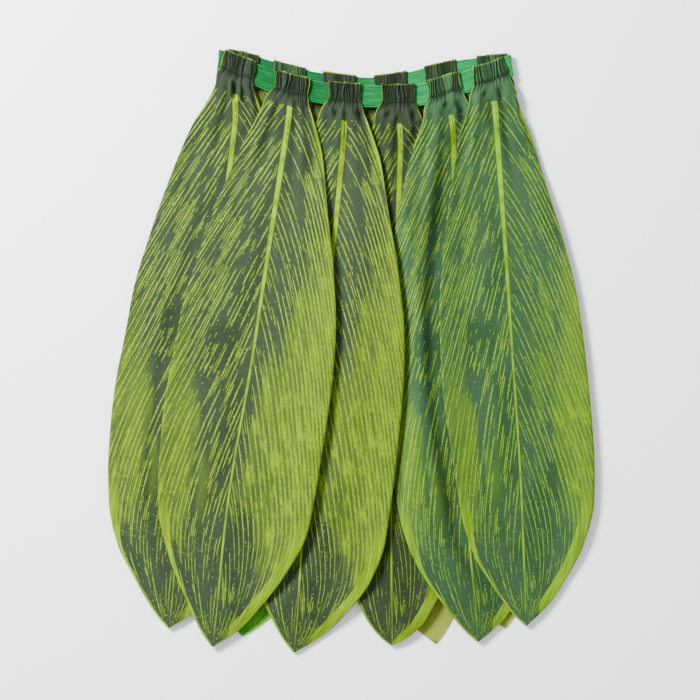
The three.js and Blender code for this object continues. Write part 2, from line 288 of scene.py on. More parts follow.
def elastic_material():
    """Knitted green elastic: ribs along it, fine stitches across it, and a dye that varies at random in
    clouds. Painted light is added to the colour: a painted highlight on the selvedge along both edges with
    a painted shade line beside it, the ribs' hollows a little darker as painted shade, and the whole run
    painted darker towards the left and lighter towards the right."""
    made, tree = new_material("green_knitted_elastic")
    along, across, rightward = split(tree, "elastic_place")
    clouds = noise(tree, vector(tree, times(tree, along, 0.05), times(tree, across, 0.3)), 1.0, 3)
    rib = calc(tree, "SINE", times(tree, across, 2 * np.pi * ELASTIC_RIBS / ELASTIC_WIDTH))
    stitch = calc(tree, "SINE", times(tree, along, 2 * np.pi / KNIT_PITCH))
    knit = times(tree, plus(tree, rib, 1.2), plus(tree, times(tree, stitch, 0.4), 1))
    off_middle = calc(tree, "ABSOLUTE", plus(tree, across, -ELASTIC_WIDTH / 2))
    # Painted highlight on the selvedge along both edges, and a painted shade line just inside it.
    selvedge_highlight = times(tree, ramp(tree, off_middle, SELVEDGE_HIGHLIGHT_START, SELVEDGE_HIGHLIGHT_START + 0.4), 0.16)
    shade_line = times(tree, near(tree, off_middle, SHADE_LINE_AT, 0.5, 0.2), -0.2)
    # Painted light: the elastic is painted darker towards the left and lighter towards the right.
    painted_light_rightward = ramp(tree, rightward, -50, 80, -0.125, 0.085)
    dye_and_painted_light = plus(tree, times(tree, clouds, 0.35), painted_light_rightward, plus(tree, selvedge_highlight, shade_line))
    # The ribs' hollows are painted a little darker here, as painted shade.
    shade = ramp(tree, plus(tree, dye_and_painted_light, times(tree, rib, 0.035)), -0.05, 0.55)
    colour = blend_colour(tree, shade, ELASTIC_SHADE, ELASTIC_GREEN)
    cloth_shader(tree, colour, knit, 0.00012, 0.8, 0.03)
    return made


points, along, depth = elastic_points()
loop_low, loop_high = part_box("waist_elastic")
to_frame = np.array([
    (loop_low[0] + loop_high[0]) / 2 / MM - (WAIST_LEFT[0] + WAIST_RIGHT[0]) / 2,
    loop_high[1] / MM - WAIST_LEFT[1],
    0,
])
elastic_mesh = grid_mesh("waist_elastic", (points + to_frame) * MM, closed_rows=True, closed_columns=True)
elastic_place = np.stack([along[:, None] + depth * 0, depth, points[..., 0]], axis=-1)
add_vectors(elastic_mesh, "elastic_place", elastic_place)
elastic_mesh.materials.append(elastic_material())
elastic = place(elastic_mesh, "waist_elastic_webbing")
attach(elastic, "root")
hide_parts("waist_elastic")

# ---- Leaf panels -------------------------------------------------------------------------------
# Twelve leaf-shaped panels of printed polyester cloth, 0.6 mm thick, six in front and six behind.
# Each top end is gathered to 31 mm, folded over the elastic and stitched, and the rest hangs free.
# Laid flat, the front panels rest on the back ones, and each panel on those before it in its table.
CLOTH = 0.6
HEM_DEPTH = 15.5
CASING_HALF = 15.5
FOLD_RADIUS = WALL_OFFSET + 0.1
LAYER = 1.8
PATTERN = np.array([
    # share of the way from the stitches to the tip, half width on the left and on the right
    (0, 15.5, 15.5), (0.018, 21.5, 17.5), (0.039, 25, 22), (0.07, 32.5, 29), (0.1, 39.5, 35.5),
    (0.2, 54, 48.5), (0.3, 65, 62), (0.42, 74.5, 73.5), (0.55, 76.5, 78), (0.68, 71.5, 79.5),
    (0.78, 65, 77), (0.86, 51.5, 64.5), (0.92, 33.5, 44.5), (0.96, 20, 27.5), (0.985, 9.5, 12),
    (1, 0.8, 0.8),
])
# A panel's number, where its casing and its midrib cross the waist, its tip, how far its midrib bows
# and sways, how full it is on both sides and at the tip, and how much of the tip turns under.
PANEL_COLUMNS = ("number", "waist", "rib", "tip_x", "tip_y", "bow", "sway", "left", "right",
                 "tip_left", "tip_right", "curl")
BACK_PANELS = [
    (5, 85.5, 86, 81.6, -282.1, 0, 0, 1, 1, 1, 0.72, 0),
    (2, -59.9, -59.4, -105.5, -274.8, 0, 0, 1, 1, 0.75, 1.35, 0),
    (3, -11.6, -11.1, -32.4, -267.1, 0, 0, 1, 1, 1, 1, 0),
    (6, 135.7, 132.8, 148.3, -266.7, 0, 0, 1, 0.85, 1, 0.9, 0),
    (1, -104.3, -103.8, -140.6, -256.5, 0, 0, 0.95, 1, 1, 1, 0),
    (4, 37.7, 38.2, 41.1, -269, 0, 0, 1, 1, 1, 1, 0),
]
FRONT_PANELS = [
    (4, 44.9, 48.9, 39.1, -297, -3, -1, 0.96, 0.96, 0.84, 0.83, 14),
    (1, -107.2, -103.2, -176.3, -266.6, 0.5, -7, 1.04, 0.99, 1.08, 0.95, 0),
    (5, 88.4, 94.9, 122.2, -279.7, -4.3, -2.4, 0.98, 1, 1.02, 1, 0),
    (3, -5.9, -3.7, -55.5, -290.3, 0.7, -3.5, 0.98, 1.04, 0.96, 1.02, 0),
    (6, 131.5, 133.4, 168.6, -264.2, 2.5, 1.1, 0.91, 0.91, 1.06, 0.98, 0),
    (2, -55.9, -54.6, -134.3, -284.5, -1.7, -3.7, 1, 1.04, 0.93, 0.89, 0),
]
# Edges that stand off what is under them: panel, side, first and last share of its length, and lift.
EDGE_LIFTS = [
    (2, 1, 0.10, 0.62, 3.6), (2, 1, 0.50, 0.94, 4.4), (2, -1, 0.20, 0.95, 1.6), (3, 1, 0.15, 0.95, 3.0),
    (6, -1, 0.12, 0.90, 2.6), (6, 1, 0.10, 0.95, 2.4), (1, -1, 0.10, 0.90, 1.6), (5, -1, 0.10, 0.95, 2.4),
    (5, 1, 0.80, 0.98, 1.5), (4, 1, 0.80, 0.98, 1.5), (4, -1, 0.80, 0.98, 1.2), (1, 1, 0.85, 0.99, 1.5),
]
# Bulges beside a panel that lies on this one: this panel, that one, and the height. Then four pairs
# of a start and a length: the rise and the fall going out from that panel's edge, and the rise and
# the fall going down along it.
BULGES = [
    (5, 6, 9.5, (-1, 25), (32, 44), (30, 90), (430, 110)),
    (1, 2, 2.2, (1, 16), (20, 34), (60, 90), (480, 80)),
    (3, 2, 2.2, (1, 16), (20, 34), (60, 90), (480, 80)),
]
# Creases at the necks: panel, both ends in plan, half width, and how far it sinks.
CREASES = [
    (1, (-111.6, 268), (-112.2, 244), 2.1, 4.5), (1, (-100, 266), (-90, 249), 2.6, 3.6),
    (2, (-59, 254), (-51, 240), 2.8, 4.2), (2, (-52, 243), (-43, 234), 4.0, 2.5),
    (3, (-18.5, 243), (-14, 228), 2.3, 3.6), (3, (0.5, 243), (10, 226), 2.8, 3.9),
    (4, (40, 246), (36, 226), 2.6, 3.1), (4, (55, 246), (62, 226), 2.6, 3.4),
    (5, (88, 252), (91.5, 236), 2.2, 3.9), (5, (101, 250), (108, 232), 3.0, 2.5),
    (6, (128.4, 264), (129.2, 246), 2.4, 2.8), (6, (140, 262), (146, 246), 2.8, 2.2),
]


def laid(row, is_front):
    """A panel with what follows from where it lies: its start on the stitches, direction and length."""
    leaf = dict(zip(PANEL_COLUMNS, row))
    tip = np.array([leaf["tip_x"], leaf["tip_y"]])
    leaf["start"] = waist_point(np.float64(leaf["rib"]), HEM_DEPTH, is_front)
    leaf["length"] = np.hypot(*(tip - leaf["start"]))
    leaf["down"] = (tip - leaf["start"]) / leaf["length"]
    leaf["across"] = np.array([-leaf["down"][1], leaf["down"][0]])
    leaf["end"] = leaf["length"] - leaf["curl"]
    leaf["is_front"] = is_front
    return leaf


def midrib_offset(leaf, distance):
    """How far the midrib lies right of a straight line: a parabola for its bow, and a squared sine
    over its lower part for its sway."""
    share = np.clip(distance / leaf["length"], 0, 1)
    lower = np.maximum(0, (share - 0.45) / 0.55)
    return leaf["bow"] * 4 * share * (1 - share) + leaf["sway"] * np.sin(np.pi * lower) ** 2


WIDE_NECKS = (3, 4)
NECK_EXTRA = 6
ROUNDED_END = 26


def half_width(leaf, distance, side):
    """The pattern's half width times the panel's fullness on that side. A back panel lies printed
    side down, so its pattern is turned over, and two of them are wider at the neck, to fill the gap
    between the front panels. A tip that turns under is rounded like an ellipse."""
    share = np.clip(distance / leaf["length"], 0, 1)
    on_left = from_table(PATTERN[:, 0], PATTERN[:, 1], share)
    on_right = from_table(PATTERN[:, 0], PATTERN[:, 2], share)
    width = np.where((side > 0) == leaf["is_front"], on_right, on_left)
    if not leaf["is_front"] and leaf["number"] in WIDE_NECKS:
        width = width + NECK_EXTRA * ease(distance / 14) * (1 - ease((distance - 30) / 60))
    full = np.where(side > 0, leaf["right"], leaf["left"])
    tip_full = np.where(side > 0, leaf["tip_right"], leaf["tip_left"])
    full = full * mix(1, tip_full, ease((share - 0.75) / 0.15))
    width = width * mix(1, full, ease(share / 0.1))
    if leaf["curl"]:
        rounding = np.clip((distance - leaf["end"]) / ROUNDED_END + 1, 0, 1)
        width = np.maximum(0.8, width * np.sqrt(1 - rounding ** 2))
    return width


def panel_point(leaf, distance, aside):
    """A point of a panel in plan. Near the waist its rows follow the curve of the elastic, and over
    the next 50 mm they turn square to the leaf."""
    along = leaf["start"] + distance[..., None] * leaf["down"]
    square = along + (aside + midrib_offset(leaf, distance))[..., None] * leaf["across"]
    gathered = waist_point(leaf["waist"] + aside, HEM_DEPTH + distance, leaf["is_front"])
    return mix(gathered, square, ease(distance / 50)[..., None])


def leaf_place(leaf, point):
    """Where a point in plan is on a panel: the distance down it, how far outside its side edge, which
    is negative inside, and how far past its tip."""
    offset = point - leaf["start"]
    distance = offset @ leaf["down"]
    aside = offset @ leaf["across"] - midrib_offset(leaf, distance)
    beside = np.abs(aside) - half_width(leaf, distance, np.where(aside < 0, -1, 1))
    return distance, beside, distance - leaf["end"]


def cover(leaf, point):
    """How much of a layer a panel puts under what lies on it: 1 on it and close round it, falling to
    0 further out, and both zones grow with the distance from the waist."""
    distance, beside, past = leaf_place(leaf, point)
    outside = np.hypot(np.maximum(0, beside), np.maximum(0, past))
    margin = mix(5, 18, ease(distance / 120))
    fall = mix(8, 55, ease(distance / 160))
    return 1 - ease((outside - margin) / fall)


back = [laid(row, False) for row in BACK_PANELS]
front = [laid(row, True) for row in FRONT_PANELS]
front_panel = {leaf["number"]: leaf for leaf in front}


def bare(leaf, point, clear, fade):
    """1 where no later front panel lies on this one, 0 under such a panel and within a clear distance
    of its edge, with an eased fade between."""
    share = np.ones(point.shape[:-1])
    for other in front[front.index(leaf) + 1:]:
        _, beside, past = leaf_place(other, point)
        share *= ease((np.maximum(beside, past) - clear) / fade)
    return share


def underside_height(leaf, point, distance):
    """The height of a panel's lower face before its folds: on the elastic at the waist, on the back
    panels lower down, and a layer higher for each panel of its own side that it lies on."""
    side = front if leaf["is_front"] else back
    under = side[:side.index(leaf)]
    lift = LAYER * sum((cover(other, point) for other in under), np.zeros(point.shape[:-1]))
    lift = lift * ease((distance - (ELASTIC_WIDTH - HEM_DEPTH)) / 12)
    if not leaf["is_front"]:
        return lift
    below = waist_top(point[..., 0], True) - point[..., 1]
    on_back = LAYER * sum(cover(other, point) for other in back)
    return mix(FRONT_HEIGHT + WALL_OFFSET, on_back, ease((below - 24) / 95)) + lift


def line_distance(point, start, end):
    """The distance from points in plan to a segment, and each point's share of the way along it."""
    start, end = np.array(start, float), np.array(end, float)
    along = end - start
    share = ((point - start) @ along) / (along @ along)
    nearest = start + np.clip(share, 0, 1)[..., None] * along
    return np.hypot(*np.moveaxis(point - nearest, -1, 0)), share


def rise_and_fall(x, rise, fall):
    """0, then eased up to 1 and eased back to 0. The rise and the fall are each a start and a length."""
    return ease((x - rise[0]) / rise[1]) * (1 - ease((x - fall[0]) / fall[1]))


def drape(leaf, point, distance, place):
    """How far the cloth stands above its flat height: slow swells that all front panels share, lifted
    edges, bulges beside the panels that lie on it, and creases, a fan of ripples and a puff below
    the gathers. Swells and ripples are sums of sines, and creases are bell curves across a line."""
    if not leaf["is_front"]:
        return np.zeros(point.shape[:-1])
    x, y = point[..., 0], point[..., 1]
    settled = ease((waist_top(x, True) - y - 40) / 150)
    swell = 1.5 * (1 + np.sin(x / 41 + y / 150 + 0.6)) + 0.9 * (1 + np.sin(x / 23 - y / 95 + 2.1))
    height = 0.55 * swell * settled
    share = distance / leaf["length"]
    on_top = bare(leaf, point, 3, 14)
    for number, side, first, last, lift in EDGE_LIFTS:
        if number == leaf["number"]:
            run = ease((share - first) / 0.12) * ease((last - share) / 0.12)
            height = height + lift * run * ease((side * place - 0.5) / 0.62) * on_top * 1.6
    for number, upper, lift, out_rise, out_fall, down_rise, down_fall in BULGES:
        if number == leaf["number"]:
            down, beside, _ = leaf_place(front_panel[upper], point)
            bulge = rise_and_fall(beside, out_rise, out_fall) * rise_and_fall(down, down_rise, down_fall)
            height = height + lift * bulge * on_top
    for number, start, end, width, depth in CREASES:
        if number == leaf["number"]:
            away, along = line_distance(point, start, end)
            taper = ease((along + 0.25) / 0.4) * ease((1.35 - along) / 0.5) * ease((distance - 5) / 9)
            height = height - depth * taper * np.exp(-(away / width) ** 2)
            height = height + 0.55 * depth * taper * np.exp(-((away - 2.2 * width) / width) ** 2)
    fan = np.sin(np.pi * (3.2 * place + 0.37 * leaf["number"]))
    fan = fan + 0.6 * np.sin(np.pi * (5.3 * place - leaf["number"]))
    fan_run = ease(distance / 25) * (1 - ease((distance - 40) / 120))
    puff = 2.4 * (1 - place ** 2) * ease(distance / 9) * (1 - ease((distance - 12) / 55))
    return height + (0.9 * (1.6 + fan) * fan_run + puff) * bare(leaf, point, 1, 10)


LARGE_RIDGES = 3.9
SMALL_RIDGES = 8.3


def gathers(leaf, place, wobble):
    """The standing of the gathers across a casing, from 0 in a valley to 1 on a ridge: the root of a
    rectified sine whose phase runs unevenly, so that the ridges are round and the valleys sharp, with
    smaller ridges of the same kind on it. The wobble moves them sideways, in ridges."""
    seed = leaf["number"] * 1.7 + (0 if leaf["is_front"] else 0.8)
    uneven = 0.62 * np.sin(4.1 * place + seed) + 0.30 * np.sin(8.7 * place + 2.3 * seed) + 0.31 * seed
    large = np.abs(np.sin(np.pi * (LARGE_RIDGES * place + uneven + wobble))) ** 0.7
    large = large * (0.74 + 0.26 * np.sin(5.3 * place + 3 * seed))
    uneven = 0.45 * np.sin(6.1 * place + seed) + 0.9 * seed
    small = np.abs(np.sin(np.pi * (SMALL_RIDGES * place + uneven + 1.6 * wobble))) ** 0.6
    return large * mix(0.66, 1, small)


def casing_rows():
    """The rows that wrap the elastic, from the flap's raw end over the top edge to the stitches. Each
    has its depth below the top edge, its side of the elastic, its normal and its place on the cloth,
    which is negative above the stitches. The fold is half a turn, and 0.3 mm of it is straight."""
    fold_depth, flap_steps, fold_steps, wall_steps = 0.3, 7, 11, 15
    flap = np.linspace(HEM_DEPTH, fold_depth, flap_steps)
    wall = np.linspace(fold_depth, HEM_DEPTH, wall_steps)[:-1]
    angle = np.linspace(-np.pi / 2, np.pi / 2, fold_steps + 2)[1:-1]
    depth = np.concatenate([flap, fold_depth - FOLD_RADIUS * np.cos(angle), wall])
    side = np.concatenate([flap * 0 - 1, np.sin(angle), wall * 0 + 1])
    out = np.concatenate([flap * 0, np.cos(angle), wall * 0])
    fold_end = fold_depth - HEM_DEPTH
    fold_length = np.pi * FOLD_RADIUS
    on_cloth = np.concatenate([
        fold_end - fold_length - flap + fold_depth,
        fold_end - fold_length * (0.5 - angle / np.pi),
        wall - HEM_DEPTH,
    ])
    return depth, side, out, on_cloth


# How high the gathers stand on the outer wall and on the flap, in front and behind, and on the fold,
# the share of that which the stitches pull in, and the length of the neck, with its closer rows.
WALL_GATHER = {True: 2.9, False: 0.2}
FLAP_GATHER = {True: 0.45, False: 0.85}
FOLD_GATHER = 1.15
STITCH_PINCH = 0.72
NECK_LENGTH = 60


def gather_wobble(depth, place):
    """How far the gathers stray sideways at a depth below the top edge: a slow sine."""
    return 0.11 * np.sin(depth / 4.5 + 7 * place)


def pinched(distance):
    """The share of the gathers' height that is left near the stitches: 1 less a bell curve."""
    return 1 - STITCH_PINCH * np.exp(-(distance / 2.0) ** 2)


def leaf_surface(leaf, columns, neck_rows, body_rows):
    """Both faces of a panel as rows x columns x 3 arrays in millimetres, the inner one first, with the
    place across and the distance along the cloth of each point, and how much painted shade it takes: how
    far it is into a hollow of the gathers, and a painted shadow line along the stitches. The casing's rows
    wrap the elastic, and the rows below it follow the leaf."""
    outward = 1 if leaf["is_front"] else -1
    is_front = leaf["is_front"]
    place = np.linspace(-1, 1, columns)[None]
    depth, side, out, on_cloth = (row[:, None] for row in casing_rows())
    across = leaf["waist"] + place * CASING_HALF + 0.7 * np.sin(depth / 4.5 + place * 5 + leaf["number"])
    middle = FRONT_HEIGHT if is_front else BACK_HEIGHT
    on_side = mix(FLAP_GATHER[is_front], WALL_GATHER[is_front], ease((side + 1) / 2))
    gather = on_side * (1 - out) + FOLD_GATHER * out
    ridge = gather * pinched(on_cloth) * gathers(leaf, place, gather_wobble(depth, place))
    flat = waist_point(across, depth + place * 0, is_front)
    below = waist_point(across, depth * 0 + 1, is_front) - waist_point(across, depth * 0, is_front)
    height = middle + outward * side * np.where(out > 0, FOLD_RADIUS, WALL_OFFSET) + place * 0
    normal = np.concatenate([-below * out[..., None], outward * (side + place * 0)[..., None]], axis=-1)
    inner = np.concatenate([flat, height[..., None]], axis=-1) + normal * ridge[..., None]
    outer = inner + normal * CLOTH

    distance = np.concatenate([np.linspace(0, NECK_LENGTH, neck_rows + 1),
                               np.linspace(NECK_LENGTH, leaf["end"], body_rows + 1)[1:]])[:, None]
    side_sign = np.where(place < 0, -1, 1)
    aside = place * half_width(leaf, distance + place * 0, side_sign + 0 * distance)
    flat = panel_point(leaf, distance + place * 0, aside)
    stand = WALL_GATHER[is_front] * (0.8 * (1 - ease(distance / 13)) + 0.2 * (1 - ease(distance / 45)))
    ridge = outward * stand * pinched(distance) * gathers(leaf, place, gather_wobble(HEM_DEPTH, place))
    height = underside_height(leaf, flat, distance) + drape(leaf, flat, distance + place * 0, place) + ridge
    low = height if is_front else height + CAD_CLOTH
    body_inner = np.concatenate([flat, low[..., None]], axis=-1)
    body_outer = body_inner + np.array([0, 0, outward * CLOTH])
    inner = np.concatenate([inner, body_inner])
    outer = np.concatenate([outer, body_outer])
    cloth_distance = np.concatenate([on_cloth, distance]) + place * 0
    stitched = np.concatenate([1 + 0 * on_cloth, 1 - ease(distance / 13)])
    # Painted shade: the valleys between the gathers and a line along the stitches, to be painted dark in
    # the material.
    painted_fold_shade = stitched * (1 - gathers(leaf, place, 0)) + 0.5 * np.exp(-((cloth_distance - 0.4) / 1.1) ** 2)
    return inner, outer, place + 0 * cloth_distance, cloth_distance, painted_fold_shade


PRINT_STARTS = {1: 0.038, 2: 0.026, 3: 0.038, 4: 0.040, 5: 0.042, 6: 0.040}
VEIN_SPACING = 4.3
VEIN_SLOPES = np.array([
    # share of the way down the midrib, then how many times further down than out the veins that leave
    # there run: at the midrib and at the edge on the left, and the same on the right
    (-0.5, 1.45, 1.6, 0.9, 3.2), (0, 1.6, 2.0, 1.0, 3.5), (0.1, 2.1, 2.6, 1.15, 3.8),
    (0.2, 2.6, 3.2, 1.45, 4.2), (0.45, 3.9, 4.6, 2.4, 5.2), (0.7, 5.2, 6.0, 3.4, 6.8),
    (0.85, 5.8, 6.6, 4.2, 7.4), (1.3, 6.0, 7.0, 4.4, 7.8),
])
VEIN_FULL_WIDTH = 76
WIDEST_SHARE = 0.6
FOOT_STEPS = 500
HALVINGS = 22


def vein_field(leaf, place, distance):
    """The number of veins between the waist and each point, and their spacing there. A vein leaves
    the midrib at a foot and runs down by its first slope x its way out, plus a square term that
    brings it to its second slope at the edge. Below the widest part, the way out is stretched with
    the leaf's narrowing, so that the veins close on the tip. The foot above a point is found by
    halving an interval, and the count is the sum, down to the foot, of the sine of the vein's angle
    over the spacing that keeps the veins evenly apart."""
    length = leaf["length"]
    printed_right = place * (1 if leaf["is_front"] else -1) > 0
    side = np.where(place < 0, -1, 1)
    aside = place * half_width(leaf, np.maximum(distance, 0), side)
    widest = half_width(leaf, np.full(place.shape, WIDEST_SHARE * length), side)
    out = np.abs(np.where(distance > WIDEST_SHARE * length, place * widest, aside))
    feet = np.linspace(VEIN_SLOPES[0, 0], VEIN_SLOPES[-1, 0], FOOT_STEPS) * length
    first_left, last_left, first_right, last_right = (
        from_table(VEIN_SLOPES[:, 0], VEIN_SLOPES[:, i], feet / length) for i in (1, 2, 3, 4))
    low, high = np.full(place.shape, feet[0]), np.full(place.shape, feet[-1])
    for _ in range(HALVINGS):
        foot = (low + high) / 2
        on_left = [np.interp(foot, feet, slopes) for slopes in (first_left, last_left)]
        on_right = [np.interp(foot, feet, slopes) for slopes in (first_right, last_right)]
        first, last = np.where(printed_right, on_right, on_left)
        short = foot + first * out + (last - first) * out ** 2 / (2 * VEIN_FULL_WIDTH) < distance
        low, high = np.where(short, foot, low), np.where(short, high, foot)
    per_length = 1 / np.hypot(1, (first_left + first_right) / 2) / VEIN_SPACING
    count = np.interp((low + high) / 2, feet, np.cumsum(per_length) * (feet[1] - feet[0]))
    down_step = np.gradient(distance, axis=0)
    across_step = np.maximum(np.gradient(aside, axis=1), 0.05)
    slope_along = np.gradient(count, axis=0) / np.maximum(down_step, 0.05)
    slope_across = np.gradient(count, axis=1) / across_step
    slope_along = slope_along - slope_across * np.gradient(aside, axis=0) / np.maximum(down_step, 0.05)
    spacing = 1 / np.maximum(np.hypot(slope_along, slope_across), 0.05)
    return count, np.clip(spacing, 0.3, 12), aside


def leaf_mesh(leaf, columns, neck_rows, body_rows):
    """A closed mesh of a panel: its inner and outer faces joined along their four sides. The inner face,
    which is the wrong side of the cloth, takes the second material. The places and veins that the print
    needs, and the share of painted shade, are stored for both faces, with the same numbers."""
    inner, outer, place, distance, painted_fold_shade = leaf_surface(leaf, columns, neck_rows, body_rows)
    rows = inner.shape[0]
    points = (np.concatenate([outer.reshape(-1, 3), inner.reshape(-1, 3)]) + to_frame) * MM
    top = np.arange(rows * columns).reshape(rows, columns)
    under = top + rows * columns

    def quads(a, b, c, d):
        return np.stack([a, b, c, d], axis=-1).reshape(-1, 4)

    faces = np.concatenate([
        quads(top[:-1, :-1], top[1:, :-1], top[1:, 1:], top[:-1, 1:]),
        quads(top[:-1, 0], under[:-1, 0], under[1:, 0], top[1:, 0]),
        quads(top[:-1, -1], top[1:, -1], under[1:, -1], under[:-1, -1]),
        quads(top[0, :-1], top[0, 1:], under[0, 1:], under[0, :-1]),
        quads(top[-1, :-1], under[-1, :-1], under[-1, 1:], top[-1, 1:]),
        quads(under[:-1, :-1], under[:-1, 1:], under[1:, 1:], under[1:, :-1]),
    ])
    faces = faces if leaf["is_front"] else faces[:, ::-1]
    mesh = bpy.data.meshes.new("leaf")
    mesh.from_pydata(points.tolist(), [], faces.tolist())
    mesh.polygons.foreach_set("use_smooth", np.ones(len(faces), dtype=bool))
    wrong_side = np.zeros(len(faces), dtype=np.int32)
    wrong_side[-(rows - 1) * (columns - 1):] = 1
    mesh.polygons.foreach_set("material_index", wrong_side)
    count, spacing, aside = vein_field(leaf, place, distance)
    printed = 1 if leaf["is_front"] else -1
    print_start = place * 0 + PRINT_STARTS[leaf["number"]]
    for name, values in (("leaf_place", (aside * printed, distance, place * printed)),
                         ("leaf_veins", (count, spacing, distance / leaf["length"])),
                         ("leaf_shade_and_print_start", (painted_fold_shade, print_start, place * 0))):
        add_vectors(mesh, name, np.tile(np.stack(values, axis=-1).reshape(-1, 3), (2, 1)))
    return mesh


def largest(tree, *values):
    """The largest of numbers or sockets."""
    return combine(tree, "MAXIMUM", values)


def vein_lines(tree, veins, seed, per_vein, half, dash_length, on):
    """Printed lines that follow the veins. The count times the lines per vein numbers them, and the
    distance from the middle of a line is how far the fraction is from a half, times the spacing. One
    noise along each line moves it sideways, and another varies its half width, in millimetres, and
    breaks it where it is below on. Where open veins come close together, every second line stops."""
    position = plus(tree, times(tree, veins["count"], per_vein), seed)
    whole = calc(tree, "FLOOR", position)
    number = plus(tree, times(tree, whole, 7.31), times(tree, veins["is_right"], 311))
    run = times(tree, veins["distance"], 1 / dash_length)
    drift = times(tree, plus(tree, flat_noise(tree, number, times(tree, run, 0.35), 0), -0.5), 0.26)
    middle = calc(tree, "ABSOLUTE", plus(tree, calc(tree, "FRACT", position), -0.5, drift))
    gap = times(tree, veins["spacing"], 1 / per_vein)
    breaks = flat_noise(tree, plus(tree, number, 5.7), run, 1)
    thick = times(tree, half, plus(tree, 0.35, times(tree, breaks, 1.3)))
    line = ramp(tree, times(tree, middle, gap), plus(tree, thick, -0.18), plus(tree, thick, 0.24), 1.0, 0.0)
    every_second = calc(tree, "LESS_THAN", calc(tree, "FRACT", times(tree, whole, 0.5)), 0.25)
    kept = largest(tree, every_second, ramp(tree, gap, 2.3, 3.1), veins["dense"])
    unbroken = ramp(tree, breaks, plus(tree, on, -0.03), plus(tree, on, 0.03))
    return times(tree, line, kept, ramp(tree, gap, 0.5, 1.3), unbroken)


def streaks(tree, veins, seed, per_vein, length, low, high):
    """Fine scratchy streaks along the veins: a noise that is much longer along them than across,
    brought from the range low to high into 0 to 1."""
    across = plus(tree, times(tree, veins["count"], per_vein), times(tree, veins["is_right"], 57), seed)
    return ramp(tree, flat_noise(tree, across, times(tree, veins["distance"], 1 / length), 2), low, high)


FOLD_LINE = -17.2


